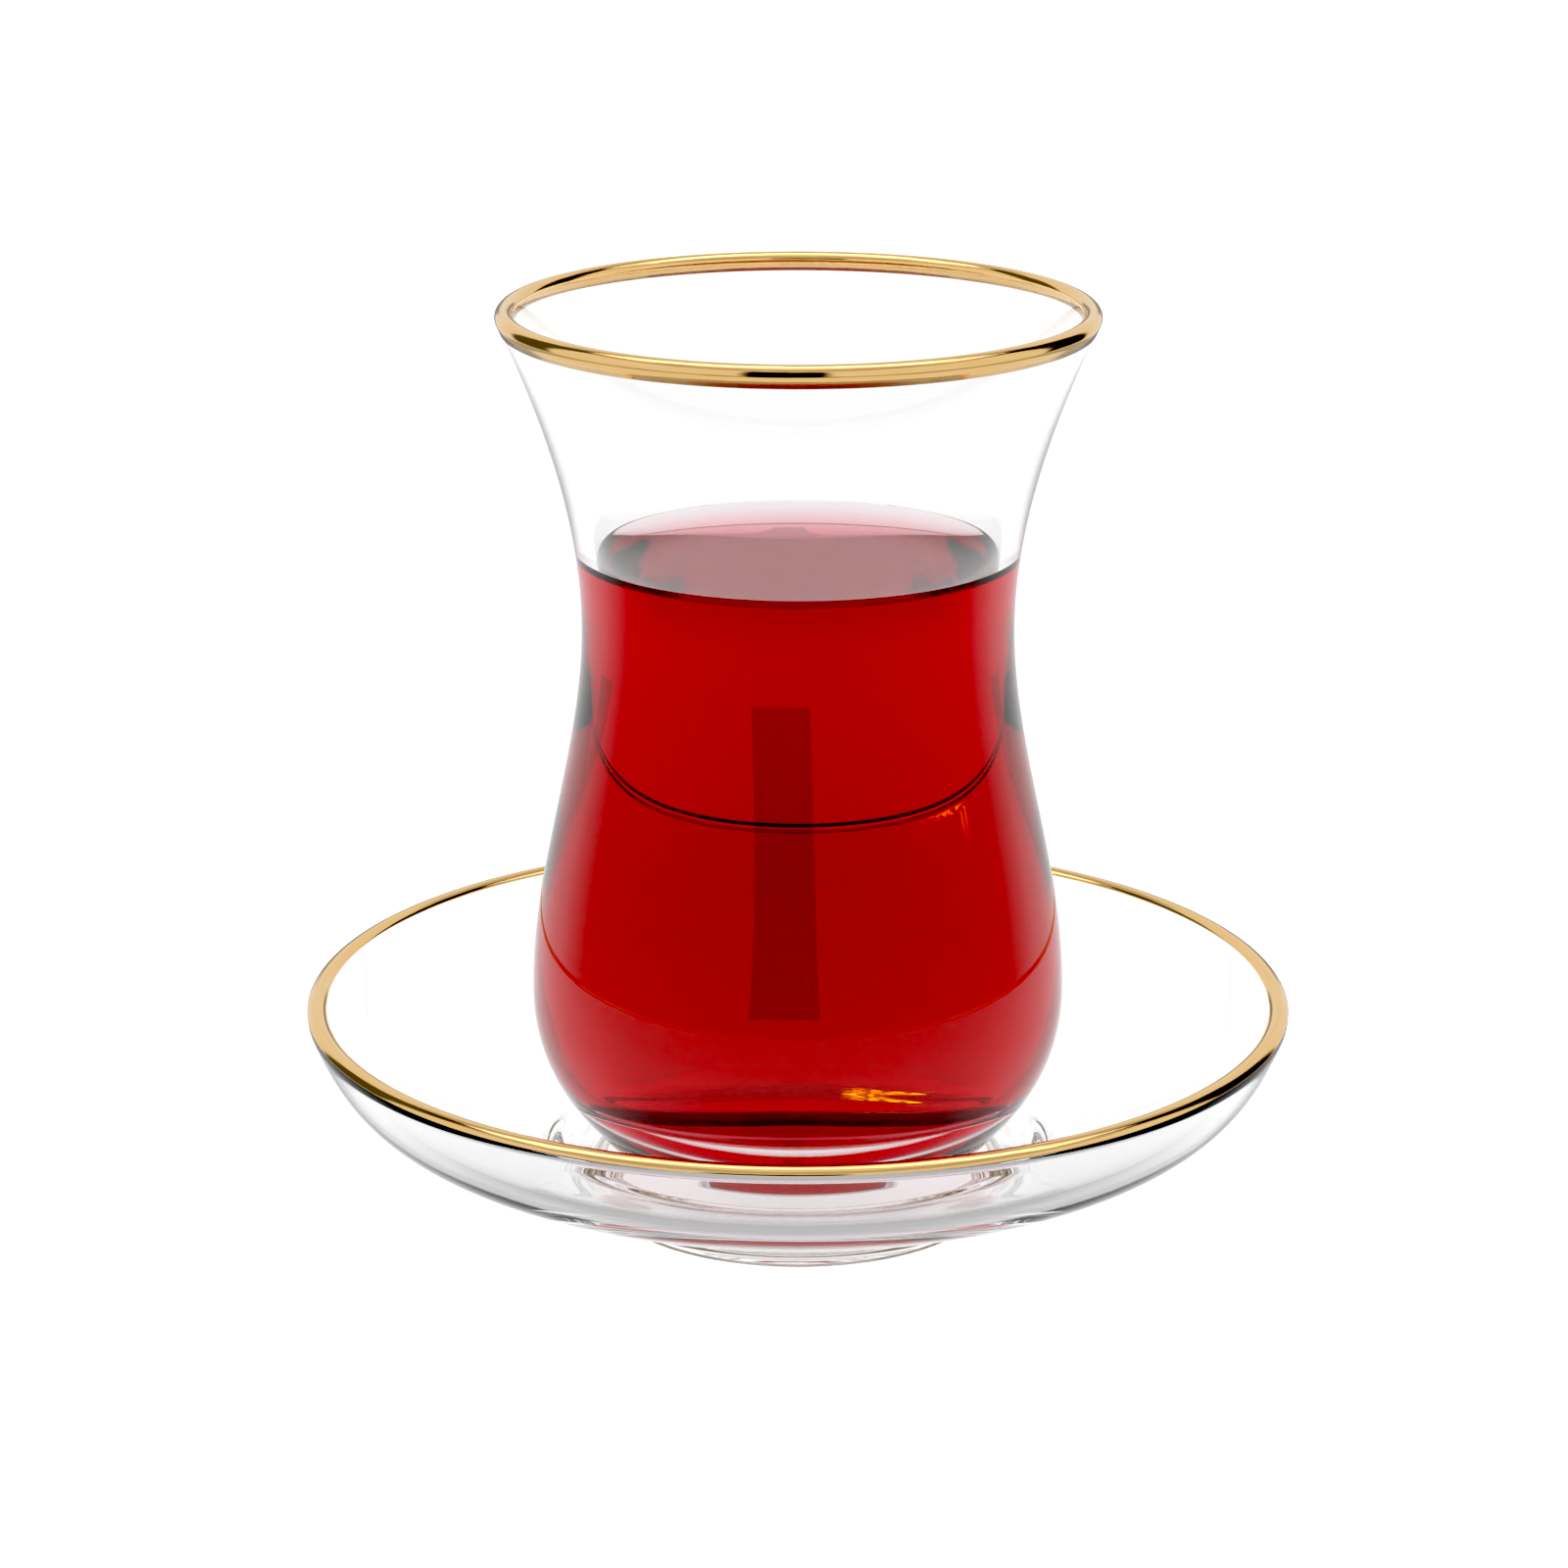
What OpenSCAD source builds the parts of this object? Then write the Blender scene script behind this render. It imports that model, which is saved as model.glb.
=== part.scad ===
// Tulip-waisted tea glass with a gilded lip, filled with tea, on its gilded glass saucer.
// Every piece is a body of revolution about Z. The saucer's foot stands on z = 0.

/* [Tea glass] */
// Height of the glass, from its base to the top of its gilded lip
glass_h = 96.9; // [80:0.2:118]
// Diameter over the gilded lip
lip_d = 65.6; // [54:0.2:80]
// How far the wall leans outward at the lip, in degrees from upright
lip_lean = 24; // [12:1:32]
// Thickness of the bare wall at the lip
lip_t = 1.8; // [1.3:0.1:2.4]
// Outer diameter at the waist
waist_d = 47.7; // [39.6:0.1:57.4]
// Height of the waist above the base
waist_h = 61.4; // [51:0.2:74]
// Wall thickness at the waist
waist_wall = 2.2; // [1.5:0.1:3]
// Outer diameter at the belly
belly_d = 59.6; // [49.6:0.1:71.6]
// Height of the belly above the base
belly_h = 19.4; // [16:0.2:24]
// Wall thickness at the belly
belly_wall = 2.5; // [1.8:0.1:3.5]
// Outer diameter at the heel, where the belly turns in to the base
heel_d = 48.2; // [42:0.1:49.5]
// Height of the heel above the base
heel_h = 4.9; // [3.8:0.1:6]
// Outward slope of the heel, as radius over height
heel_slope = 0.9; // [0.7:0.05:1.1]
// Outer diameter of the flat ring that the glass stands on
base_d = 37.6; // [31:0.2:45.2]
// Width of that ring
base_ring = 3.2; // [2:0.2:5]
// Depth of the hollow under the base
punt_h = 1; // [0.5:0.1:1.6]
// Thickness of the bottom, from the base to the inner floor
bottom_t = 6.5; // [4.5:0.1:9]
// Squareness of the inner floor's corner, 2 being an ellipse
floor_squareness = 3; // [2:0.1:4]

/* [Tea] */
// Height of the tea's level above the base of the glass
tea_h = 68.2; // [30:0.2:84]
// Height that the tea climbs the wall
meniscus_h = 1.8; // [0.6:0.1:2.5]
// Distance over which that climb dies away
meniscus_w = 2.2; // [1:0.1:3]

/* [Saucer] */
// Diameter over the gilded rim
saucer_d = 110.4; // [91:0.5:132]
// Height of the saucer, from its foot to the top of its gilded rim
saucer_h = 24.7; // [20:0.1:30]
// Thickness of the bare rim
rim_t = 2.3; // [1.8:0.1:3.2]
// How far the rim leans outward, in degrees from upright
rim_lean = 21; // [10:1:35]
// Rise of the underside where it leaves the foot, in degrees
dish_rise = 25; // [18:1:32]
// Outer diameter of the foot ring
foot_d = 45; // [37.5:0.5:54]
// Width of the foot ring
foot_w = 2.6; // [2:0.1:4]
// Height of the foot ring below the dish
foot_h = 1.8; // [1.2:0.1:2.6]
// Depth of the soft hollow inside the foot ring
foot_hollow = 0.9; // [0.4:0.1:1.4]
// Height of the saucer's floor above the top of the foot ring
floor_t = 4.1; // [3:0.1:5.5]
// Diameter of the sunken flat that holds the glass
well_d = 49.6; // [44:0.2:58]
// Height of the ridge that rings that flat
ridge_h = 1.5; // [0.8:0.1:1.8]
// Width of that ridge
ridge_w = 3.8; // [3:0.1:5]
// Wall thickness of the dish next to the ridge
dish_wall = 2.6; // [2.2:0.1:3.6]

/* [Gilding] */
// Thickness of the gold layer
gold_t = 0.12; // [0.08:0.01:0.2]
// How far the gold on the lip runs down the outside wall
lip_gold_out = 1.1; // [0.2:0.1:1.5]
// How far it runs down the inside wall
lip_gold_in = 0.3; // [0.1:0.1:1.5]
// Where the gold on the saucer's rim starts, in degrees above level on the outside
rim_gold_out = 22; // [0:1:30]
// Where it ends on the inside, in degrees round the rim before the rim meets the inner wall
rim_gold_in = 14; // [2:1:60]

/* [Hidden] */
$fn = 180;
// Facing surfaces of two pieces are this far apart, so that they never cross
fit_gap = 0.01;
// Height of the saucer's floor, where the glass stands
seat_z = foot_h + floor_t;

// ---- curves, as lists of [radius, height] points ----

// Point at a share t of the way along a cubic from a to b, with slopes sa and sb of radius over height
function swell(a, b, sa, sb, t) =
    let (h = b[1] - a[1],
         u = 3 * t * t - 2 * t * t * t)
    [a[0] + (b[0] - a[0]) * u + h * (sa * t * (1 - t) * (1 - t) - sb * t * t * (1 - t)), a[1] + h * t];
// The same cubic as points, its start left out
function swell_points(a, b, sa, sb, steps) = [for (i = [1:steps]) swell(a, b, sa, sb, i / steps)];

// Points of a cubic from a to b that leaves a at angle ga and reaches b at angle gb, its start left out
function bow_points(a, b, ga, gb, pull_a, pull_b, steps) =
    let (span = norm(b - a),
         p = a + pull_a * span * [cos(ga), sin(ga)],
         q = b - pull_b * span * [cos(gb), sin(gb)])
    [for (i = [1:steps])
        let (t = i / steps, s = 1 - t)
        s * s * s * a + 3 * s * s * t * p + 3 * s * t * t * q + t * t * t * b];

// Points of an arc round c, both ends included
function arc_points(c, r, from, to, steps) =
    [for (i = [0:steps]) let (g = from + (to - from) * i / steps) c + r * [cos(g), sin(g)]];

// A point on the way from a to b, at a distance from a
function toward(a, b, distance) = a + distance * (b - a) / norm(b - a);

function reversed(points) = [for (i = [len(points) - 1:-1:0]) points[i]];
// A curve without its two ends, or its first, where it joins curves that already hold them
function without_ends(points) = [for (i = [1:len(points) - 2]) points[i]];
function without_first(points) = [for (i = [1:len(points) - 1]) points[i]];
// A smooth rise from 0 to 1 as t goes from 0 to 1
function rise(t) = (1 - cos(180 * max(0, min(t, 1)))) / 2;

// Unit normal of a curve at point i, to the right of its direction of travel
function side(points, i) =
    let (a = points[max(i - 1, 0)],
         b = points[min(i + 1, len(points) - 1)],
         d = (b - a) / norm(b - a))
    [d[1], -d[0]];
// The curve moved sideways by w
function beside(points, w) = [for (i = [0:len(points) - 1]) points[i] + w * side(points, i)];

// ---- tea glass ----

lip_slope = tan(lip_lean);
lip_c = [lip_d / 2 - gold_t - lip_t / 2, glass_h - gold_t - lip_t / 2];
lip_out = lip_c + lip_t / 2 * [cos(lip_lean), -sin(lip_lean)];
lip_in = lip_c - lip_t / 2 * [cos(lip_lean), -sin(lip_lean)];
heel = [heel_d / 2, heel_h];
belly = [belly_d / 2, belly_h];
waist = [waist_d / 2, waist_h];
base_corner = [base_d / 2, 0];
belly_in = [belly_d / 2 - belly_wall, belly_h];
waist_in = [waist_d / 2 - waist_wall, waist_h];
punt_r = base_d / 2 - base_ring;
// Rise of the wall where it leaves the standing ring, in degrees
heel_rise = 10;
// How firmly the heel's curve holds its direction at its two ends, as shares of its span
heel_pull = [0.2, 0.42];

// Hollow under the base, from the axis out to the standing ring
punt_line = [for (i = [0:7]) [punt_r * i / 8, punt_h * (1 - rise(i / 8))]];
// Outer wall, from the standing ring up to the lip
wall_out = concat([[punt_r, 0], base_corner],
    bow_points(base_corner, heel, heel_rise, atan2(1, heel_slope), heel_pull[0], heel_pull[1], 8),
    swell_points(heel, belly, heel_slope, 0, 14),
    swell_points(belly, waist, 0, 0, 26),
    swell_points(waist, lip_out, 0, lip_slope, 22));
// Rounded top of the lip, from the outside over to the inside
lip_arc = arc_points(lip_c, lip_t / 2, -lip_lean, 180 - lip_lean, 16);
// Inner wall, from its floor up to the lip
floor_in = [for (i = [0:19])
    let (g = 90 * i / 20)
    [belly_in[0] * pow(sin(g), 2 / floor_squareness),
     belly_h - (belly_h - bottom_t) * pow(cos(g), 2 / floor_squareness)]];
wall_in = concat(floor_in, [belly_in],
    swell_points(belly_in, waist_in, 0, 0, 26),
    swell_points(waist_in, lip_in, 0, lip_slope, 22));

module tea_glass() {
    color([0.88, 0.94, 0.95, 0.35])
        translate([0, 0, seat_z])
            rotate_extrude()
                polygon(concat(punt_line, wall_out, without_ends(lip_arc), reversed(wall_in)));
}

// ---- gilding ----

// A gold layer that follows a curve, lying on its right-hand side
module gold_layer(points) {
    under = beside(points, fit_gap);
    skin = beside(points, gold_t);
    color([0.85, 0.64, 0.27])
        rotate_extrude()
            polygon(concat(under, reversed(skin)));
}

// Both ends of the layer run down the walls' own last stretches
module glass_lip_gold() {
    wall_out_below = wall_out[len(wall_out) - 2];
    wall_in_below = wall_in[len(wall_in) - 2];
    translate([0, 0, seat_z])
        gold_layer(concat([toward(lip_out, wall_out_below, lip_gold_out)], lip_arc,
            [toward(lip_in, wall_in_below, lip_gold_in)]));
}

// ---- tea ----

// Inner wall from its floor up to a height
function wall_up_to(z) = [for (p = wall_in) if (p[1] < z) p];
// Inner radius at a height
function wall_radius(z) =
    let (above = [for (i = [1:len(wall_in) - 1]) if (wall_in[i][1] >= z && wall_in[i - 1][1] < z) i],
         a = wall_in[above[0] - 1],
         b = wall_in[above[0]])
    a[0] + (b[0] - a[0]) * (z - a[1]) / (b[1] - a[1]);

// How many of its own distances the climb takes to die away altogether
climb_reach = 5;
// How much closer the surface's points lie at the wall, 1 being evenly
climb_crowding = 1.6;

module tea() {
    top = tea_h + meniscus_h;
    edge = [wall_radius(top), top];
    reach = climb_reach * meniscus_w;
    steps = 10;
    // Surface of the tea, from the wall in to the level middle
    surface = [for (i = [1:steps])
        let (away = reach * pow(i / steps, climb_crowding))
        [edge[0] - away, tea_h + meniscus_h * exp(-away / meniscus_w) * (1 - away / reach)]];
    wall_line = concat(wall_up_to(top - fit_gap), [edge]);
    color([0.62, 0.02, 0.03, 0.9])
        translate([0, 0, seat_z])
            rotate_extrude()
                polygon(concat([[0, bottom_t + fit_gap]],
                    [for (i = [1:len(wall_line) - 1]) wall_line[i] - fit_gap * side(wall_line, i)],
                    surface, [[0, tea_h]]));
}

// ---- saucer ----

rim_c = [saucer_d / 2 - gold_t - rim_t / 2, saucer_h - gold_t - rim_t / 2];
rim_out = rim_c + rim_t / 2 * [cos(rim_lean), -sin(rim_lean)];
rim_in = rim_c - rim_t / 2 * [cos(rim_lean), -sin(rim_lean)];
foot_r = foot_d / 2;
foot_in = foot_r - foot_w;
// Rounding of the foot ring's outer edge
foot_round = 0.6;
// Run and rise of the hollow curve from the foot ring out to the dish
foot_fillet = [1.4, 0.7];
// Rise of that curve where it leaves the foot ring, in degrees
fillet_rise = 88;
// How firmly it holds its direction at both ends, as a share of its span
fillet_pull = 0.4;
// Drop from the ridge's crest to the dish behind it
ridge_drop = 0.25;
// Least run between the ridge and the dish, so that the two meet in a soft bend
ridge_run = 0.6;
// How firmly the dish holds its direction at its foot and at its rim, as shares of its span
dish_pull = [0.62, 0.36];
// Underside of the dish, from the foot ring out to the rim
dish_start = [foot_r, foot_h] + foot_fillet;
dish_under = concat([dish_start],
    bow_points(dish_start, rim_out, dish_rise, 90 - rim_lean, dish_pull[0], dish_pull[1], 30));
foot_edge = arc_points([foot_r - foot_round, foot_round], foot_round, -90, 0, 6);
foot_corner = [foot_r, foot_round];
under_line = concat(
    [for (i = [0:12]) [foot_in * i / 12, foot_hollow * (1 - rise(i / 12))]],
    foot_edge,
    bow_points(foot_corner, dish_start, fillet_rise, dish_rise, fillet_pull, fillet_pull, 8),
    without_first(dish_under));
rim_arc = arc_points(rim_c, rim_t / 2, -rim_lean, 180 - rim_lean, 20);
// Upper side: the sunken flat, the ridge round it, and the dish out to the rim
ridge_line = [for (i = [0:12])
    let (t = i / 12)
    [well_d / 2 + ridge_w * t, seat_z + ridge_h * rise(2 * t) - ridge_drop * rise(2 * t - 1)]];
// The dish's upper side lies one wall above its underside
dish_line = [for (i = [1:len(dish_under) - 2])
    let (wall = dish_wall + (rim_t - dish_wall) * i / (len(dish_under) - 1),
         p = dish_under[i] - wall * side(dish_under, i))
    if (p[0] > well_d / 2 + ridge_w + ridge_run) p];
top_line = concat([[0, seat_z]], ridge_line, dish_line, [rim_in]);

module saucer() {
    color([0.88, 0.94, 0.95, 0.35])
        rotate_extrude()
            polygon(concat(under_line, without_ends(rim_arc), reversed(top_line)));
}

module saucer_rim_gold() {
    gold_layer(arc_points(rim_c, rim_t / 2, rim_gold_out, 180 - rim_lean - rim_gold_in, 18));
}

tea_glass();
glass_lip_gold();
tea();
saucer();
saucer_rim_gold();
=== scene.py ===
# %% [markdown]
# # A tulip tea glass on its saucer
# The object is all glass, gold and liquid, so nearly everything the eye sees is light that was bent on
# its way through it. Such a picture is decided by three things: walls with a true thickness, surfaces
# that are perfectly smooth, and bright and dark places around the glass for it to bend into view.
# The construction model gives the true sizes. Its meshes are flat facets, which would break every
# refraction, so each piece is turned again here as a smooth body at the same place and size.

# %% Load the frame
import math
import bpy
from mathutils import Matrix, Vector


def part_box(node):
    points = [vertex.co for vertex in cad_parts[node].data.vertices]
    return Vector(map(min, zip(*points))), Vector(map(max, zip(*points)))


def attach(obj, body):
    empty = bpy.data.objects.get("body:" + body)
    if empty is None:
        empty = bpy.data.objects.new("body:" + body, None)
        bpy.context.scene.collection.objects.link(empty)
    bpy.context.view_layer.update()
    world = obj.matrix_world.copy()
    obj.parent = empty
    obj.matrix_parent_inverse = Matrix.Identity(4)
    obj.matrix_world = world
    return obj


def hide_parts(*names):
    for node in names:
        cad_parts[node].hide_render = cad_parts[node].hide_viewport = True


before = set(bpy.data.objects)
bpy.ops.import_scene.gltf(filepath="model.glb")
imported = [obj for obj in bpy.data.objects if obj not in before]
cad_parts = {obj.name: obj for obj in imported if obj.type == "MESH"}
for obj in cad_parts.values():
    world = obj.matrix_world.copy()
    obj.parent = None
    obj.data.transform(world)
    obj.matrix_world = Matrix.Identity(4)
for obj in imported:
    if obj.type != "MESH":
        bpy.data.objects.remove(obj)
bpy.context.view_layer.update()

# %% [markdown]
# ## Measures
# Every piece is round about the vertical axis, so it is described by one outline: a list of radii and
# heights. The sizes below are in millimetres, as on a workshop drawing. What the construction model
# already knows, such as how high the tea stands or how wide the lip is, is read from its boxes.

# %% Measure the construction model
MM = 0.001


def node_size(node):
    """Largest radius, lowest and highest point of a node, in millimetres."""
    low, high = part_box(node)
    return high.x / MM, low.z / MM, high.z / MM


gilded_lip_r, _, lip_top = node_size("glass_lip_gold")
_, seat_z, _ = node_size("tea_glass")
_, tea_low, tea_top = node_size("tea")
_, _, saucer_top = node_size("saucer_rim_gold")
saucer_r, _, _ = node_size("saucer")
print("lip radius", round(gilded_lip_r, 2), "glass from", round(seat_z, 2), "to", round(lip_top, 2))
print("tea from", round(tea_low, 2), "to", round(tea_top, 2), "saucer radius", round(saucer_r, 2))

# %% [markdown]
# ## Curves
# A glass blower's line has no corners: it swells to the belly, draws in to the waist and flares to the
# lip. Three small formulas give such lines. A swell runs from one height to another with a chosen lean
# at each end. A bow leaves one point at an angle and reaches the next at an angle. An arc rounds an edge.

# %% Curve formulas


def swell(a, b, lean_a, lean_b, steps):
    """Points from a to b by height, with leans of radius over height at the ends, a left out."""
    height = b[1] - a[1]
    points = []
    for i in range(1, steps + 1):
        t = i / steps
        share = 3 * t * t - 2 * t ** 3
        bulge = height * (lean_a * t * (1 - t) ** 2 - lean_b * t * t * (1 - t))
        points.append((a[0] + (b[0] - a[0]) * share + bulge, a[1] + height * t))
    return points


def bow(a, b, angle_a, angle_b, pulls, steps):
    """Points of a cubic from a to b that leaves and arrives at these angles, in degrees, a left out."""
    turns = (math.cos, math.sin)
    reach_a, reach_b = [pull * math.dist(a, b) for pull in pulls]
    leave = [a[k] + reach_a * turns[k](math.radians(angle_a)) for k in range(2)]
    arrive = [b[k] - reach_b * turns[k](math.radians(angle_b)) for k in range(2)]
    points = []
    for i in range(1, steps + 1):
        t = i / steps
        s = 1 - t
        weights = (s ** 3, 3 * s * s * t, 3 * s * t * t, t ** 3)
        pairs = list(zip(weights, (a, leave, arrive, b)))
        points.append(tuple(sum(weight * point[k] for weight, point in pairs) for k in range(2)))
    return points


def arc(centre, radius, start, end, steps):
    """Points of an arc, both ends included, with angles in degrees."""
    angles = [math.radians(start + (end - start) * i / steps) for i in range(steps + 1)]
    return [(centre[0] + radius * math.cos(g), centre[1] + radius * math.sin(g)) for g in angles]


def beside(points, distance):
    """The line moved sideways, to the right of its direction of travel."""
    moved = []
    for i, (r, z) in enumerate(points):
        before = points[max(i - 1, 0)]
        after = points[min(i + 1, len(points) - 1)]
        step = distance / math.dist(before, after)
        moved.append((r + step * (after[1] - before[1]), z - step * (after[0] - before[0])))
    return moved


def raised(points, height):
    """The line moved up."""
    return [(r, z + height) for r, z in points]


print("a swell from the waist to the lip has", len(swell((0, 0), (9, 35), 0, 0.45, 40)), "points")

# %% [markdown]
# ## From an outline to a body
# A lathe makes a body of revolution by turning one outline about an axis, and Blender's spin does the
# same. The outline starts as one point and grows by extruding it from place to place. The spin turns it
# once round in many small steps. Its first and last rows lie on each other, and so do all the points
# on the axis, so doubles are merged, and only then are the faces told which side is out.

# %% Turn an outline
TURN_STEPS = 192
MERGE = 0.002 * MM


def select_none():
    """Leaves nothing selected, so that the next operator acts on the new piece alone."""
    if bpy.context.object and bpy.context.object.mode != "OBJECT":
        bpy.ops.object.mode_set(mode="OBJECT")
    bpy.ops.object.select_all(action="DESELECT")


def turned_piece(name, outline):
    """A closed body, turned from an outline of (radius, height) in millimetres."""
    select_none()
    start = Vector((outline[0][0], 0, outline[0][1])) * MM
    bpy.ops.mesh.primitive_plane_add(size=MM, location=start)
    piece = bpy.context.object
    piece.name = name
    piece.data.name = name
    bpy.ops.object.transform_apply(location=True, rotation=False, scale=False)
    bpy.ops.object.mode_set(mode="EDIT")
    bpy.ops.mesh.merge(type="CENTER")
    bpy.ops.mesh.select_all(action="SELECT")
    for before, after in zip(outline, outline[1:]):
        move = ((after[0] - before[0]) * MM, 0, (after[1] - before[1]) * MM)
        bpy.ops.mesh.extrude_region_move(TRANSFORM_OT_translate={"value": move})
    bpy.ops.mesh.select_all(action="SELECT")
    bpy.ops.mesh.spin(steps=TURN_STEPS, angle=2 * math.pi, center=(0, 0, 0), axis=(0, 0, 1))
    bpy.ops.mesh.select_all(action="SELECT")
    bpy.ops.mesh.remove_doubles(threshold=MERGE)
    bpy.ops.mesh.normals_make_consistent(inside=False)
    bpy.ops.object.mode_set(mode="OBJECT")
    bpy.ops.object.shade_smooth()
    print(name, len(piece.data.polygons), "faces,", [round(s / MM, 2) for s in piece.dimensions], "mm")
    return piece


def stand_for(piece, slot, *nodes):
    """The piece rides on the one body and hides the nodes that it stands for. The slot is not used."""
    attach(piece, "root")
    if nodes:
        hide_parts(*nodes)


# %% [markdown]
# ## The glass
# The tumbler is pressed and blown soda glass. Its wall is about 2 mm thick, the bottom is a solid plug
# of glass that bends the tea's colour into bright rings, and a small hollow under the base keeps the
# centre off the table. A single sheet thickened by a modifier would give one wall everywhere, so the
# inner wall is drawn as a line of its own, with the thick bottom and the thin lip that the real one has.

# %% Draw the glass
GOLD_T = 0.12
LIP_T = 1.8
LIP_LEAN = 24
lip_slope = math.tan(math.radians(LIP_LEAN))
glass_h = lip_top - seat_z
lip_c = (gilded_lip_r - GOLD_T - LIP_T / 2, glass_h - GOLD_T - LIP_T / 2)
lip_side = (math.cos(math.radians(LIP_LEAN)) * LIP_T / 2, -math.sin(math.radians(LIP_LEAN)) * LIP_T / 2)
lip_out = (lip_c[0] + lip_side[0], lip_c[1] + lip_side[1])
lip_in = (lip_c[0] - lip_side[0], lip_c[1] - lip_side[1])

PUNT_H = 1.0
BASE_R = 18.8
RING_W = 3.2
HEEL = (24.1, 4.9)
HEEL_LEAN = 0.9
HEEL_START = 10
HEEL_PULLS = (0.2, 0.42)
BELLY = (29.8, 19.4)
WAIST = (23.85, 61.4)
BELLY_WALL = 2.5
WAIST_WALL = 2.2
BOTTOM_T = 6.5
FLOOR_SQUARENESS = 3
# The glass and the saucer under it are parted by a film of air, as any two dry glass faces are
AIR_FILM = 0.03

punt_r = BASE_R - RING_W
punt_line = [(punt_r * i / 12, PUNT_H * (1 + math.cos(math.pi * i / 12)) / 2) for i in range(12)]
heel_line = bow((BASE_R, 0), HEEL, HEEL_START, math.degrees(math.atan2(1, HEEL_LEAN)), HEEL_PULLS, 12)
outer_wall = heel_line + swell(HEEL, BELLY, HEEL_LEAN, 0, 20) + swell(BELLY, WAIST, 0, 0, 36)
outer_wall = outer_wall + swell(WAIST, lip_out, 0, lip_slope, 30)

belly_in = (BELLY[0] - BELLY_WALL, BELLY[1])
waist_in = (WAIST[0] - WAIST_WALL, WAIST[1])
inner_floor = []
for i in range(31):
    turn = math.radians(90 * i / 30)
    out_share = math.sin(turn) ** (2 / FLOOR_SQUARENESS)
    down_share = max(math.cos(turn), 0) ** (2 / FLOOR_SQUARENESS)
    inner_floor.append((belly_in[0] * out_share, BELLY[1] - (BELLY[1] - BOTTOM_T) * down_share))
inner_wall = inner_floor + swell(belly_in, waist_in, 0, 0, 36) + swell(waist_in, lip_in, 0, lip_slope, 30)
print("the wall is drawn with", len(outer_wall), "points outside and", len(inner_wall), "inside")

# %% [markdown]
# Where the tea wets the wall, light passes straight from glass to liquid, and that bends it far less
# than glass to air. So the inner wall is cut at the top of the tea's edge: the faces below it get a
# finish of their own later. The outline gets a point at exactly that height.

# %% Cut the inner wall at the tea line
tea_edge_h = tea_top - seat_z


def cut_line(points, height):
    """The part of a rising line up to a height, with a point added there, and the part from there on."""
    for i in range(1, len(points)):
        low, high = points[i - 1], points[i]
        if low[1] < height <= high[1]:
            share = (height - low[1]) / (high[1] - low[1])
            cut = (low[0] + (high[0] - low[0]) * share, height)
            return points[:i] + [cut], [cut] + points[i:]


wet_wall, dry_wall = cut_line(inner_wall, tea_edge_h)
lip_arc = arc(lip_c, LIP_T / 2, -LIP_LEAN, 180 - LIP_LEAN, 24)
glass_outline = punt_line + [(punt_r, AIR_FILM), (BASE_R, AIR_FILM)] + outer_wall
glass_outline = glass_outline + lip_arc[1:-1] + dry_wall[::-1] + wet_wall[-2::-1]
glass = turned_piece("tea_glass_wall", raised(glass_outline, seat_z))
stand_for(glass, "clear_glass", "tea_glass")

# %% [markdown]
# ## The tea
# A drink in a glass is a body that fills it up to its level. Liquid climbs a little where it touches the
# wall, and that small curve is the dark line round the surface. The tea is made a hair wider than the
# hollow, so that it reaches into the wall and no film of air is left between the two.

# %% Fill the glass
MENISCUS_H = 1.8
MENISCUS_W = 2.2
CLIMB_REACH = 5
CLIMB_CROWDING = 1.6
REACH_IN = 0.06
tea_level = tea_edge_h - MENISCUS_H
climb_span = CLIMB_REACH * MENISCUS_W


def tea_surface_line(edge_r):
    """The tea's upper side from its edge at the wall in to the level middle."""
    line = []
    for i in range(1, 25):
        away = climb_span * (i / 24) ** CLIMB_CROWDING
        climb = MENISCUS_H * math.exp(-away / MENISCUS_W) * (1 - away / climb_span)
        line.append((edge_r - away, tea_level + climb))
    return line + [(0, tea_level)]


tea_side = beside(wet_wall, REACH_IN)
tea_side[0] = (0, BOTTOM_T - REACH_IN)
tea_outline = tea_side + tea_surface_line(wet_wall[-1][0])
tea = turned_piece("tea_fill", raised(tea_outline, seat_z))
stand_for(tea, "tea", "tea")

# %% [markdown]
# Light bends at the top of the tea, but hardly at all where tea meets glass. One closed body can only
# have one bending power, so the body above carries the colour, and a thin skin on its top does the
# bending there, as the real surface does.

# %% Lay the skin on the tea
SKIN_T = 0.04
skin_top = [(wet_wall[-1][0] + REACH_IN, tea_edge_h)] + tea_surface_line(wet_wall[-1][0])
skin_under = [(r, z - SKIN_T) for r, z in skin_top]
skin_outline = raised(skin_under[::-1] + skin_top, seat_z + SKIN_T / 2)
tea_skin = turned_piece("tea_surface", skin_outline)
stand_for(tea_skin, "tea")

# %% [markdown]
# ## The saucer
# The saucer is pressed glass: a shallow dish on a foot ring, with a flat in the middle for the glass
# and a low ridge round it that keeps the glass from sliding. The upper side of the dish is drawn as a
# line one wall away from its underside, so that its thickness changes only slowly toward the rim.

# %% Draw the saucer
RIM_T = 2.3
RIM_LEAN = 21
DISH_RISE = 25
DISH_PULLS = (0.62, 0.36)
FOOT_R = 22.5
FOOT_IN = 19.9
FOOT_H = 1.8
FOOT_ROUND = 0.6
FOOT_HOLLOW = 0.9
FILLET_RISE = 88
FILLET_PULLS = (0.4, 0.4)
FILLET_OUT = 1.4
FILLET_UP = 0.7
WELL_R = 24.8
RIDGE_H = 1.5
RIDGE_W = 3.8
RIDGE_DROP = 0.25
RIDGE_GAP = 0.6
DISH_WALL = 2.6
rim_c = (saucer_r - RIM_T / 2, saucer_top - GOLD_T - RIM_T / 2)
rim_side = (math.cos(math.radians(RIM_LEAN)) * RIM_T / 2, -math.sin(math.radians(RIM_LEAN)) * RIM_T / 2)
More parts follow.
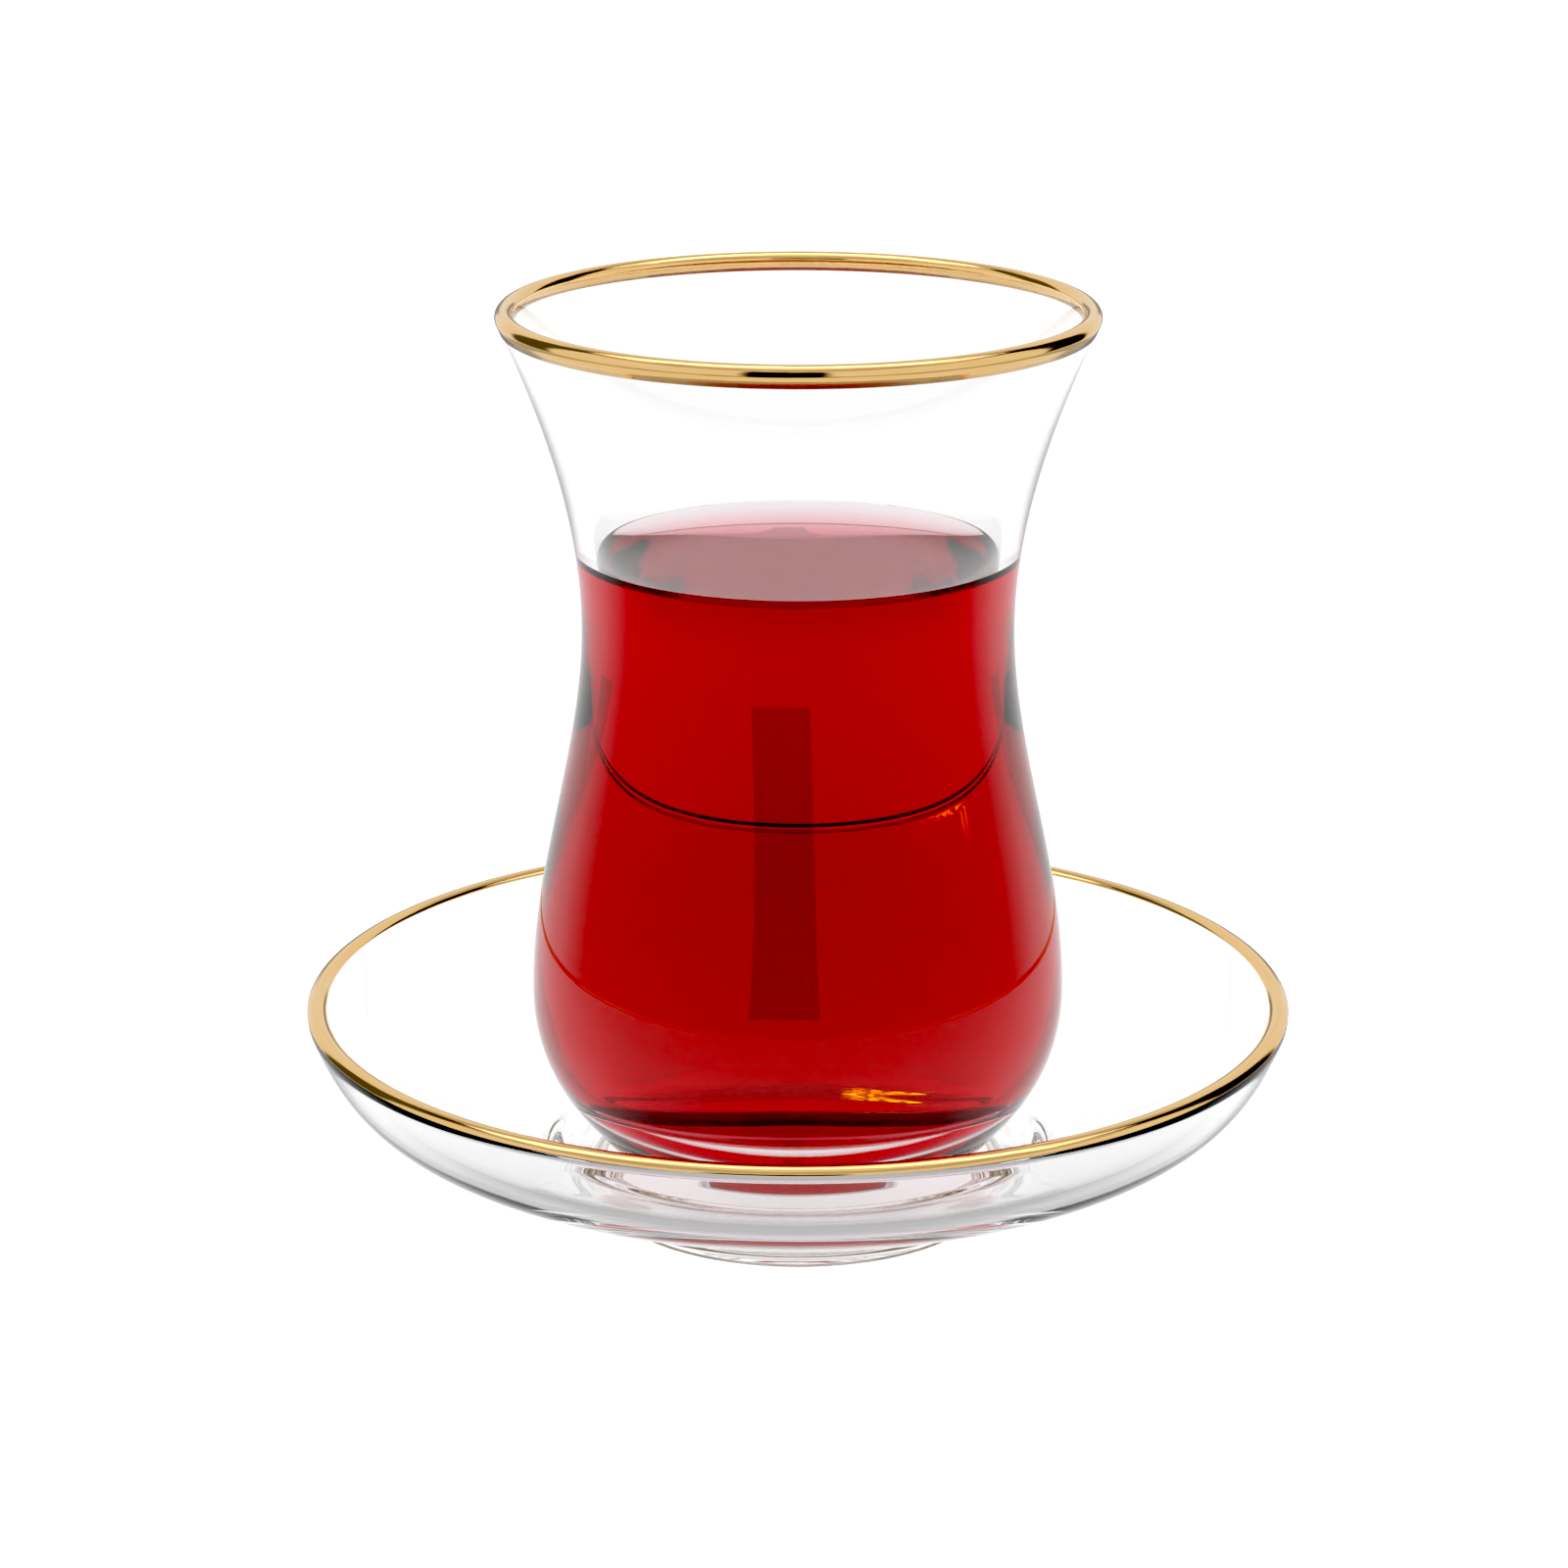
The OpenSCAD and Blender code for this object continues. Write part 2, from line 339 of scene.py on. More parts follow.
rim_out = (rim_c[0] + rim_side[0], rim_c[1] + rim_side[1])
rim_in = (rim_c[0] - rim_side[0], rim_c[1] - rim_side[1])

dish_start = (FOOT_R + FILLET_OUT, FOOT_H + FILLET_UP)
dish_under = [dish_start] + bow(dish_start, rim_out, DISH_RISE, 90 - RIM_LEAN, DISH_PULLS, 48)
dish_over = []
for i, (under, over) in enumerate(zip(dish_under, beside(dish_under, -1))):
    wall = DISH_WALL + (RIM_T - DISH_WALL) * i / (len(dish_under) - 1)
    dish_over.append((under[0] + (over[0] - under[0]) * wall, under[1] + (over[1] - under[1]) * wall))


def rise(t):
    """A smooth rise from 0 to 1."""
    return (1 - math.cos(math.pi * max(0, min(t, 1)))) / 2


ridge_line = []
for i in range(25):
    t = i / 24
    ridge_line.append((WELL_R + RIDGE_W * t, seat_z + RIDGE_H * rise(2 * t) - RIDGE_DROP * rise(2 * t - 1)))
dish_over = [p for p in dish_over[1:-1] if p[0] > WELL_R + RIDGE_W + RIDGE_GAP] + [rim_in]
foot_edge = arc((FOOT_R - FOOT_ROUND, FOOT_ROUND), FOOT_ROUND, -90, 0, 8)
foot_line = [(FOOT_IN * i / 18, FOOT_HOLLOW * (1 - rise(i / 18))) for i in range(19)] + foot_edge
foot_line = foot_line + bow(foot_edge[-1], dish_start, FILLET_RISE, DISH_RISE, FILLET_PULLS, 12)
rim_arc = arc(rim_c, RIM_T / 2, -RIM_LEAN, 180 - RIM_LEAN, 28)
saucer_outline = foot_line + dish_under[1:] + rim_arc[1:-1] + dish_over[::-1] + ridge_line[::-1]
saucer_outline = saucer_outline + [(0, seat_z)]
saucer = turned_piece("saucer_dish", saucer_outline)
stand_for(saucer, "clear_glass", "saucer")

# %% [markdown]
# ## The gilding
# Liquid gold is brushed over both rims and fired. It is a skin about a tenth of a millimetre thick that
# follows the rounded edge. It could be a second colour on the glass itself, but from below the gold
# shows through the clear glass, so it is a thin shell of its own.

# %% Gild both rims
GOLD_GAP = 0.01


def gold_shell(name, line, node):
    """A thin closed shell that lies on the right-hand side of a line and stands for a node."""
    under = beside(line, GOLD_GAP)
    skin = beside(line, GOLD_T)
    outline = under + skin[::-1] + [under[0]]
    piece = turned_piece(name, outline)
    stand_for(piece, "gilding", node)
    return piece


def toward(start, end, distance):
    """The point at a distance from one point on the way to another."""
    share = distance / math.dist(start, end)
    return (start[0] + (end[0] - start[0]) * share, start[1] + (end[1] - start[1]) * share)


LIP_GOLD_OUT = 1.1
LIP_GOLD_IN = 0.3
RIM_GOLD_START = 22
RIM_GOLD_IN = 14
lip_gold_start = toward(lip_out, outer_wall[-2], LIP_GOLD_OUT)
lip_gold_end = toward(lip_in, inner_wall[-2], LIP_GOLD_IN)
lip_line = [lip_gold_start] + lip_arc + [lip_gold_end]
lip_gold = gold_shell("lip_gilding", raised(lip_line, seat_z), "glass_lip_gold")
rim_line = arc(rim_c, RIM_T / 2, RIM_GOLD_START, 180 - RIM_LEAN - RIM_GOLD_IN, 28)
rim_gold = gold_shell("rim_gilding", rim_line, "saucer_rim_gold")

# %% [markdown]
# ## Surface effects
# Perfect computer glass looks dead, because real glass is never quite even: pressing and blowing leave
# it a little wavy, and a brush leaves gold a little thicker here than there. Both effects are made once
# as node groups with named sockets, and each material gives them its own values. They read Object
# coordinates, so the pattern stays on the piece when the camera moves.

# %% Waves of pressed glass


def new_group(name, inputs, outputs):
    """An empty shader node group with float inputs and its outputs, as (name, kind) pairs."""
    group = bpy.data.node_groups.new(name, "ShaderNodeTree")
    for label, value in inputs:
        socket = group.interface.new_socket(name=label, in_out="INPUT", socket_type="NodeSocketFloat")
        socket.default_value = value
    for label, kind in outputs:
        group.interface.new_socket(name=label, in_out="OUTPUT", socket_type=kind)
    return group, group.nodes.new("NodeGroupInput"), group.nodes.new("NodeGroupOutput")


def add_math(tree, operation, first, second=0.0, clamp=False):
    """A math node in a tree; each side is a number or a socket. Gives its output."""
    node = tree.nodes.new("ShaderNodeMath")
    node.operation = operation
    node.use_clamp = clamp
    for socket, value in zip(node.inputs, (first, second)):
        if isinstance(value, (int, float)):
            socket.default_value = value
        else:
            tree.links.new(value, socket)
    return node.outputs[0]


def add_noise(tree, vector, scale, detail):
    """A noise node's value, from 0 to 1. The scale is a number or a socket."""
    node = tree.nodes.new("ShaderNodeTexNoise")
    node.inputs["Detail"].default_value = detail
    tree.links.new(vector, node.inputs["Vector"])
    if isinstance(scale, (int, float)):
        node.inputs["Scale"].default_value = scale
    else:
        tree.links.new(scale, node.inputs["Scale"])
    return node.outputs["Fac"]


FINE_DETAIL = 7.0
ripple, ripple_in, ripple_out = new_group(
    "pressed_ripple", [("Scale", 60.0), ("Fine Share", 0.03)], [("Height", "NodeSocketFloat")])
ripple_place = ripple.nodes.new("ShaderNodeTexCoord").outputs["Object"]
broad_wave = add_noise(ripple, ripple_place, ripple_in.outputs["Scale"], 1.0)
fine_scale = add_math(ripple, "MULTIPLY", ripple_in.outputs["Scale"], FINE_DETAIL)
fine_noise = add_noise(ripple, ripple_place, fine_scale, 2.0)
fine_wave = add_math(ripple, "MULTIPLY", fine_noise, ripple_in.outputs["Fine Share"])
ripple.links.new(add_math(ripple, "ADD", broad_wave, fine_wave), ripple_out.inputs["Height"])
print("ripple group has", len(ripple.nodes), "nodes")

# %% [markdown]
# Gilding is brushed on while the glass turns on a wheel, so its streaks run round the rim. The noise is
# therefore read in turns and heights, not in plain X and Y: it is long round the rim and short across
# it. The group puts out one mask, which the gold uses for its shade, its sheen and its height.

# %% Streaks of brushed gold
streaks, streaks_in, streaks_out = new_group(
    "brush_streaks", [("Length", 6.0), ("Fineness", 2600.0)], [("Mask", "NodeSocketFloat")])
streak_place = streaks.nodes.new("ShaderNodeTexCoord").outputs["Object"]
split = streaks.nodes.new("ShaderNodeSeparateXYZ")
streaks.links.new(streak_place, split.inputs[0])
turn_angle = add_math(streaks, "ARCTAN2", split.outputs["Y"], split.outputs["X"])
x_squared = add_math(streaks, "MULTIPLY", split.outputs["X"], split.outputs["X"])
y_squared = add_math(streaks, "MULTIPLY", split.outputs["Y"], split.outputs["Y"])
ring_r = add_math(streaks, "SQRT", add_math(streaks, "ADD", x_squared, y_squared))
rolled = streaks.nodes.new("ShaderNodeCombineXYZ")
STRETCHES = (("X", turn_angle, "Length"), ("Y", split.outputs["Z"], "Fineness"), ("Z", ring_r, "Fineness"))
for axis, place, stretch in STRETCHES:
    streaks.links.new(add_math(streaks, "MULTIPLY", place, streaks_in.outputs[stretch]), rolled.inputs[axis])
streaks.links.new(add_noise(streaks, rolled.outputs[0], 1.0, 3.0), streaks_out.inputs["Mask"])
print("streak group has", len(streaks.nodes), "nodes")

# %% [markdown]
# ## Clear glass
# Clear glass has no colour of its own. What counts is its bending power, 1.5, and a faint wave in its
# surface. Where the tea wets the wall the light passes from liquid of 1.333 to glass of 1.5, and the
# right bending power for that face is the ratio of the two. Without it the tea would look like a red
# rod lying in an air gap, with a silver edge that no glass of tea has.

# %% Make the glass materials
GLASS_IOR = 1.5
TEA_IOR = 1.333


def new_material(name):
    """An empty material, its node tree and its Principled shader."""
    material = bpy.data.materials.new(name)
    material.use_nodes = True
    return material, material.node_tree, material.node_tree.nodes["Principled BSDF"]


def add_group(tree, group, **values):
    """A group node in a material, with its own values. An underscore in a name stands for a space."""
    node = tree.nodes.new("ShaderNodeGroup")
    node.node_tree = group
    for label, value in values.items():
        node.inputs[label.replace("_", " ")].default_value = value
    return node


def add_bump(tree, shader, height, distance):
    """Bends the shader's normal by a height that is worth a distance in metres."""
    bump = tree.nodes.new("ShaderNodeBump")
    bump.inputs["Strength"].default_value = 1
    bump.inputs["Distance"].default_value = distance
    tree.links.new(height, bump.inputs["Height"])
    tree.links.new(bump.outputs["Normal"], shader.inputs["Normal"])


def clear_material(name, ior, tint=(1, 1, 1, 1), wave=0.0, wave_scale=40.0):
    """A clear material with a bending power and, where the wave isn't 0, an uneven surface."""
    material, tree, shader = new_material(name)
    shader.inputs["Base Color"].default_value = tint
    shader.inputs["Roughness"].default_value = 0
    shader.inputs["Transmission Weight"].default_value = 1
    shader.inputs["IOR"].default_value = ior
    if wave:
        waves = add_group(tree, ripple, Scale=wave_scale, Fine_Share=FINE_SHARE)
        add_bump(tree, shader, waves.outputs["Height"], wave)
    return material


GLASS_TINT = (0.985, 0.985, 0.99, 1)
FINE_SHARE = 0.03
FAINT_WAVE = 0.01 * MM
PRESSED_WAVE = 0.03 * MM
glass_finish = clear_material("blown_glass", GLASS_IOR, GLASS_TINT, wave=FAINT_WAVE)
wetted_finish = clear_material("wetted_glass", GLASS_IOR / TEA_IOR, wave=FAINT_WAVE)
saucer_finish = clear_material("pressed_glass", GLASS_IOR, GLASS_TINT, wave=PRESSED_WAVE, wave_scale=45)
print("wetted wall bends light by", round(GLASS_IOR / TEA_IOR, 4))

# %% [markdown]
# The tumbler wears two of these: the wetted glass up to the tea's edge on its inner wall and floor, and
# the blown glass everywhere else. Painting by hand would miss a face here and there, so the faces are
# picked by their place: those no farther from the axis than the inner wall at their height.

# %% Give the glass its materials


def dress(piece, *materials):
    """The piece wears these materials alone."""
    piece.data.materials.clear()
    for material in materials:
        piece.data.materials.append(material)


def inner_radius(height):
    """Radius of the inner wall at a height above the glass's base, in millimetres."""
    for low, high in zip(wet_wall, wet_wall[1:]):
        if low[1] < height <= high[1]:
            return low[0] + (high[0] - low[0]) * (height - low[1]) / (high[1] - low[1])
    return 0


dress(glass, glass_finish, wetted_finish)
dress(saucer, saucer_finish)
FLOOR_SLACK = 0.05
WALL_SLACK = 0.3
wetted_faces = 0
for face in glass.data.polygons:
    height = face.center.z / MM - seat_z
    radius = math.hypot(face.center.x, face.center.y) / MM
    if BOTTOM_T - FLOOR_SLACK < height < tea_edge_h and radius < inner_radius(height) + WALL_SLACK:
        face.material_index = 1
        wetted_faces += 1
print("faces that the tea wets", wetted_faces)

# %% [markdown]
# ## Tea
# Tea is coloured all through, so its colour must grow with the way the light has to go: pale pink in
# the thin edge and deep red in the belly. A coloured surface can't do that. The body's surface lets
# light straight through, and its inside swallows nearly all green and blue within two centimetres and
# lets most red pass. The skin on top bends light as the tea's surface does.

# %% Make the tea
TEA_DENSITY = 150.0
TEA_PASSES = (0.893, 0.0, 0.12, 1)
tea_finish = clear_material("brewed_tea", 1.0)
soak = tea_finish.node_tree.nodes.new("ShaderNodeVolumeAbsorption")
soak.inputs["Color"].default_value = TEA_PASSES
soak.inputs["Density"].default_value = TEA_DENSITY
tea_output = tea_finish.node_tree.nodes["Material Output"]
tea_finish.node_tree.links.new(soak.outputs["Volume"], tea_output.inputs["Volume"])
surface_finish = clear_material("tea_surface", TEA_IOR, wave=FAINT_WAVE)
underside_finish = clear_material("tea_surface_underside", 1.0)
dress(tea, tea_finish)
dress(tea_skin, surface_finish, underside_finish)
FACES_UP = 0.3
for face in tea_skin.data.polygons:
    if face.normal.z < FACES_UP:
        face.material_index = 1
print("red that is left after 50 mm of tea", round(math.exp(-0.05 * TEA_DENSITY * (1 - TEA_PASSES[0])), 3))

# %% [markdown]
# ## Gold
# Fired gold is a true metal, so its colour is all reflection. A yellow paint would look flat, because it
# mirrors nothing. In the brush streaks the gold is paler and a little duller, and between them it is
# deeper and smoother, so one mask drives its colour, its roughness and its height.

# %% Make the gold
GOLD_LIGHT = (0.92, 0.65, 0.33, 1)
GOLD_DEEP = (0.84, 0.53, 0.20, 1)
GOLD_ROUGH = (0.03, 0.13)
GOLD_WAVE = 0.012 * MM
gold_finish, gold_tree, gold_shader = new_material("fired_gold")
gold_shader.inputs["Metallic"].default_value = 1
gold_brush = add_group(gold_tree, streaks, Length=6.0, Fineness=2600.0)
gold_mix = gold_tree.nodes.new("ShaderNodeMix")
gold_mix.data_type = "RGBA"
gold_mix.inputs[6].default_value = GOLD_DEEP
gold_mix.inputs[7].default_value = GOLD_LIGHT
gold_tree.links.new(gold_brush.outputs["Mask"], gold_mix.inputs[0])
gold_tree.links.new(gold_mix.outputs[2], gold_shader.inputs["Base Color"])
duller = add_math(gold_tree, "MULTIPLY", gold_brush.outputs["Mask"], GOLD_ROUGH[1] - GOLD_ROUGH[0])
gold_tree.links.new(add_math(gold_tree, "ADD", duller, GOLD_ROUGH[0]), gold_shader.inputs["Roughness"])
add_bump(gold_tree, gold_shader, gold_brush.outputs["Mask"], GOLD_WAVE)
dress(lip_gold, gold_finish)
dress(rim_gold, gold_finish)
print("gold dressed on", lip_gold.name, "and", rim_gold.name)

# %% [markdown]
# ## The floor
# The glass stands on plain white. A floor that is only lit would turn grey under the saucer, so it
# glows a little as well, as a light table does. What the glass bends into view and what it mirrors is
# settled by the surroundings below, so such rays pass the floor.

# %% Lay the floor


def hide_from(thing, *kinds):
    """A thing of the studio that these kinds of rays pass as if it weren't there."""
    for kind in kinds:
        setattr(thing, "visible_" + kind, False)


select_none()
FLOOR_SIZE = 30
FLOOR_GREY = 0.8
FLOOR_GLOW = 0.9
UNDER_FOOT = 0.1 * MM
bpy.ops.mesh.primitive_plane_add(size=FLOOR_SIZE, location=(0, 0, -UNDER_FOOT))
floor = bpy.context.object
floor.name = "studio_floor"
hide_from(floor, "glossy", "transmission")
floor_finish, _, floor_shader = new_material("white_light_table")
floor_shader.inputs["Base Color"].default_value = (FLOOR_GREY, FLOOR_GREY, FLOOR_GREY, 1)
floor_shader.inputs["Roughness"].default_value = 1
floor_shader.inputs["Specular IOR Level"].default_value = 0
floor_shader.inputs["Emission Color"].default_value = (1, 1, 1, 1)
floor_shader.inputs["Emission Strength"].default_value = FLOOR_GLOW
dress(floor, floor_finish)
print("floor is", FLOOR_SIZE, "m across")

# %% [markdown]
# ## The studio's light
# Glass is shown against a bright, even ground, so that its own edges draw it in grey. What it mirrors
# is kept dim, or a white veil would lie on the tea. Gold is the other way round: all its colour is
# mirrored, so it needs bright surroundings with a few dark gaps for its brown glints. A window of the
# surroundings is a span of azimuths and one of elevations, with a soft edge. Azimuths count from the
# camera's side, positive to the right, or, with a facing of -1, from straight behind, positive to the
# left. These helpers draw windows in the nodes of the world or of a material.

# %% Helpers for windows of light
LAMP_EDGE = 1.2
GAP_EDGE = 4
SHADE_EDGE = 8


def azimuth_of(tree, direction, facing=1.0):
    """How far round a direction points, in degrees."""
    split = tree.nodes.new("ShaderNodeSeparateXYZ")
    tree.links.new(direction, split.inputs[0])
    side = add_math(tree, "MULTIPLY", split.outputs["X"], facing)
    front = add_math(tree, "MULTIPLY", split.outputs["Y"], -facing)
    return add_math(tree, "MULTIPLY", add_math(tree, "ARCTAN2", side, front), math.degrees(1))


def elevation_of(tree, direction):
    """How far up a direction points, in degrees."""
    split = tree.nodes.new("ShaderNodeSeparateXYZ")
    tree.links.new(direction, split.inputs[0])
    return add_math(tree, "MULTIPLY", add_math(tree, "ARCSINE", split.outputs["Z"]), math.degrees(1))


def band(tree, value, low, high, soft):
    """1 between two angles in degrees, fading to 0 outside them."""
    away = add_math(tree, "ABSOLUTE", add_math(tree, "SUBTRACT", value, (low + high) / 2))
    inside = add_math(tree, "SUBTRACT", (high - low) / 2 + soft, away)
    return add_math(tree, "DIVIDE", inside, soft, clamp=True)


def product(tree, first, *others):
    """The product of masks and numbers, so 1 where all masks are 1."""
    result = first
    for other in others:
        result = add_math(tree, "MULTIPLY", result, other)
    return result


def dimmed(tree, level, mask, depth):
    """A level that is taken down by a depth where a mask is 1."""
    kept = add_math(tree, "SUBTRACT", 1.0, add_math(tree, "MULTIPLY", mask, depth))
    return add_math(tree, "MULTIPLY", level, kept)


print("lamps fade over", LAMP_EDGE, "degrees, gaps over", GAP_EDGE, "and shades over", SHADE_EDGE)

# %% [markdown]
# The world shows a different face to each kind of ray. Rays that light the floor see an even sky. Rays
# that went through clear glass see a little more than white, which makes up for what each face mirrors
# away, with a shade far below that gives the saucer's underside its greys. A way through the tea crosses
# six faces. So rays that crossed more than five are taken as the tea's, though a few have only been
# through the saucer and the heel, and see white with a shade low behind, for the tea's dark foot.

# %% What rays see through the glass
FLOOR_LIGHT = 0.62
UNDER_SHADE = 0.55
CLEAR_LIGHT = 1.12
TEA_SHADE = 0.3
TEA_CROSSINGS = 5.5
world = bpy.data.worlds.new("white_studio")
bpy.context.scene.world = world
world.use_nodes = True
sky = world.node_tree
ray = sky.nodes.new("ShaderNodeLightPath")
sky_place = sky.nodes.new("ShaderNodeTexCoord").outputs["Generated"]
azimuth = azimuth_of(sky, sky_place)
back_azimuth = azimuth_of(sky, sky_place, facing=-1.0)
elevation = elevation_of(sky, sky_place)

crossed_tea = add_math(sky, "GREATER_THAN", ray.outputs["Transmission Depth"], TEA_CROSSINGS)
not_scattered = add_math(sky, "LESS_THAN", ray.outputs["Diffuse Depth"], 0.5)
through_tea = product(sky, crossed_tea, not_scattered)
seen = dimmed(sky, CLEAR_LIGHT, through_tea, 1.0 - 1.0 / CLEAR_LIGHT)
not_tea = add_math(sky, "SUBTRACT", 1.0, through_tea)
seen = dimmed(sky, seen, product(sky, band(sky, elevation, -90, -56, 26), not_tea), UNDER_SHADE)
low_down = band(sky, elevation, -8, 40, SHADE_EDGE)
low_behind = product(sky, band(sky, back_azimuth, -20, 20, SHADE_EDGE), low_down)
seen = dimmed(sky, seen, product(sky, low_behind, through_tea), TEA_SHADE)
seen = dimmed(sky, seen, ray.outputs["Is Diffuse Ray"], 1.0 - FLOOR_LIGHT)
print("clear glass sees", CLEAR_LIGHT, "and tea sees 1, less", TEA_SHADE, "low behind")

# %% [markdown]
# Rays that smooth glass mirrors see a dim room that is brighter behind, so that only the outer edges of
# the glass shine. Gold is a little rough, and that tells its rays from those of the glass: for them the
# world is black, and a dome of their own follows further down.

# %% What the glass mirrors
DIM_ROOM = 0.72
DARK_BELOW = 0.5
mirrored = dimmed(sky, 1.0, band(sky, azimuth, -95, 95, 30), DIM_ROOM)
mirrored = dimmed(sky, mirrored, band(sky, elevation, -90, -50, 15), DARK_BELOW)
gold_ray = add_math(sky, "SUBTRACT", ray.outputs["Is Glossy Ray"], ray.outputs["Is Singular Ray"], clamp=True)
mirrored = dimmed(sky, mirrored, gold_ray, 1.0)
bounced = ray.outputs["Is Glossy Ray"]
is_mirrored = add_math(sky, "SUBTRACT", bounced, ray.outputs["Is Transmission Ray"], clamp=True)
is_seen = add_math(sky, "SUBTRACT", 1.0, is_mirrored)
room = add_math(sky, "ADD", product(sky, is_mirrored, mirrored), product(sky, is_seen, seen))
print("world has", len(sky.nodes), "nodes so far")

# %% [markdown]
# Low lamps behind a drink make it sparkle: the thick bottom and the belly bend them into small orange
# flames. Tea swallows nearly all green, so the lamps need far more of it than of red to come out
# orange. Noise breaks each lamp up, as the uneven walls of real glass do. Only rays that crossed more
# than six faces and were never mirrored see the lamps, or they would glint in the saucer as well.

# %% Lamps behind the tea
LAMP_RED = 8.0
LAMP_GREEN = 480.0
LAMP_CROSSINGS = 6.5
SPARKLE_SCALE = 42.0
SPARKLE_CONTRAST = 9.0
LAMPS = [((5.5, 14), (1, 24), 1.0), ((17, 25), (-30, -28.5), 0.35), ((30, 38), (14, 24), 0.12)]
sparkle = add_math(sky, "SUBTRACT", add_noise(sky, sky_place, SPARKLE_SCALE, 3.0), 0.5)
sparkle = add_math(sky, "MULTIPLY", sparkle, SPARKLE_CONTRAST, clamp=True)
lamps = 0.0
for turns, heights, brightness in LAMPS:
    lit = product(sky, band(sky, back_azimuth, *turns, LAMP_EDGE), band(sky, elevation, *heights, LAMP_EDGE))
    lamps = add_math(sky, "ADD", lamps, product(sky, lit, brightness, sparkle))
far_in = add_math(sky, "GREATER_THAN", ray.outputs["Transmission Depth"], LAMP_CROSSINGS)
never_mirrored = add_math(sky, "LESS_THAN", ray.outputs["Glossy Depth"], 0.5)
lamps = product(sky, lamps, far_in, not_scattered, never_mirrored)
light = sky.nodes.new("ShaderNodeCombineXYZ")
for axis, strength in (("X", LAMP_RED), ("Y", LAMP_GREEN)):
    sky.links.new(add_math(sky, "ADD", room, product(sky, lamps, strength)), light.inputs[axis])
sky.links.new(room, light.inputs["Z"])
backdrop = sky.nodes["Background"]
backdrop.inputs["Strength"].default_value = 1
sky.links.new(light.outputs[0], backdrop.inputs["Color"])
print("world has", len(sky.nodes), "nodes and", len(LAMPS), "lamps")

# %% [markdown]
# The dark upright in the tea is a slim strip of grey film that stands close behind the glass. The tea
# acts as a lens and spreads its few millimetres over a broad stripe. Only rays that have gone through
# glass may see it, so that it never shows by itself.

# %% Stand the film behind the glass
FILM_TOP_W = 2.4
FILM_FOOT_W = 3.8
FILM_LOW = 12.6
FILM_HIGH = 50.5
FILM_GREY = 0.47
FILM_PLACE = Vector((-0.6, 33, (FILM_LOW + FILM_HIGH) / 2)) * MM
select_none()
bpy.ops.mesh.primitive_plane_add(size=1, location=FILM_PLACE, rotation=(math.pi / 2, 0, 0))
film = bpy.context.object
film.name = "grey_film"
for corner in film.data.vertices:
    corner.co.x *= (FILM_TOP_W if corner.co.y > 0 else FILM_FOOT_W) * MM
    corner.co.y *= (FILM_HIGH - FILM_LOW) * MM
hide_from(film, "camera", "glossy", "diffuse", "shadow", "volume_scatter")
dress(film, clear_material("grey_film", 1.0, (FILM_GREY, FILM_GREY, FILM_GREY, 1)))
print("film is", FILM_TOP_W, "to", FILM_FOOT_W, "mm wide and", round(FILM_HIGH - FILM_LOW, 1), "mm tall")

# %% [markdown]
# The gold gets surroundings of its own: a clear dome that glows for the gold alone. Light linking names
# the pieces that a light may shine on. The dome has dark gaps in front, where the camera stands, at both
# sides, straight behind and in two rings, and the gold's brown glints are these gaps. Seen through the
# tea the gold's surroundings are nearly dark, so that the rims' images in the tea stay thin dark lines.

# %% A dome for the gold
gilded_things = bpy.data.collections.new("gilded_things")
gilded_things.objects.link(lip_gold)
gilded_things.objects.link(rim_gold)
DOME_R = 4
DOME_LIGHT = 0.9
DOME_CROSSINGS = 3.5
DARK_IN_TEA = 0.9
FRONT = ((-19, 9), (-22, 34), 0.97)
SIDES = [((108, 134), (-12, 60), 0.95), ((-132, -108), (-12, 50), 0.85)]
RINGS = [((-180, 180), (-27, -19), 0.45), ((-180, 180), (44, 62), 0.35)]
BEHIND = [((164, 190), (-16, 7), 0.62), ((-190, -164), (-16, 7), 0.62)]
GAPS = [FRONT] + SIDES + RINGS + BEHIND
select_none()
bpy.ops.mesh.primitive_uv_sphere_add(radius=DOME_R)
dome = bpy.context.object
dome.name = "gold_dome"
hide_from(dome, "camera", "transmission", "diffuse", "shadow", "volume_scatter")
dome.light_linking.receiver_collection = gilded_things
dome_glow, dome_tree, dome_shader = new_material("gold_dome_glow")
outward = dome_tree.nodes.new("ShaderNodeVectorMath")
outward.operation = "NORMALIZE"
dome_tree.links.new(dome_tree.nodes.new("ShaderNodeTexCoord").outputs["Object"], outward.inputs[0])
dome_turn = azimuth_of(dome_tree, outward.outputs["Vector"])
dome_rise = elevation_of(dome_tree, outward.outputs["Vector"])
glow_level = DOME_LIGHT
for turns, heights, depth in GAPS:
    across = band(dome_tree, dome_turn, *turns, GAP_EDGE)
    upward = band(dome_tree, dome_rise, *heights, GAP_EDGE)
    glow_level = dimmed(dome_tree, glow_level, product(dome_tree, across, upward), depth)
crossings = dome_tree.nodes.new("ShaderNodeLightPath").outputs["Transmission Depth"]
past_tea = add_math(dome_tree, "GREATER_THAN", crossings, DOME_CROSSINGS)
glow_level = dimmed(dome_tree, glow_level, past_tea, DARK_IN_TEA)
print("dome of", DOME_R, "m with", len(GAPS), "gaps")

# %% [markdown]
# A dome with a solid surface would stand in the way of what the glass mirrors. So its light is added to
# a fully clear surface, and the rays that it isn't meant for pass through it.

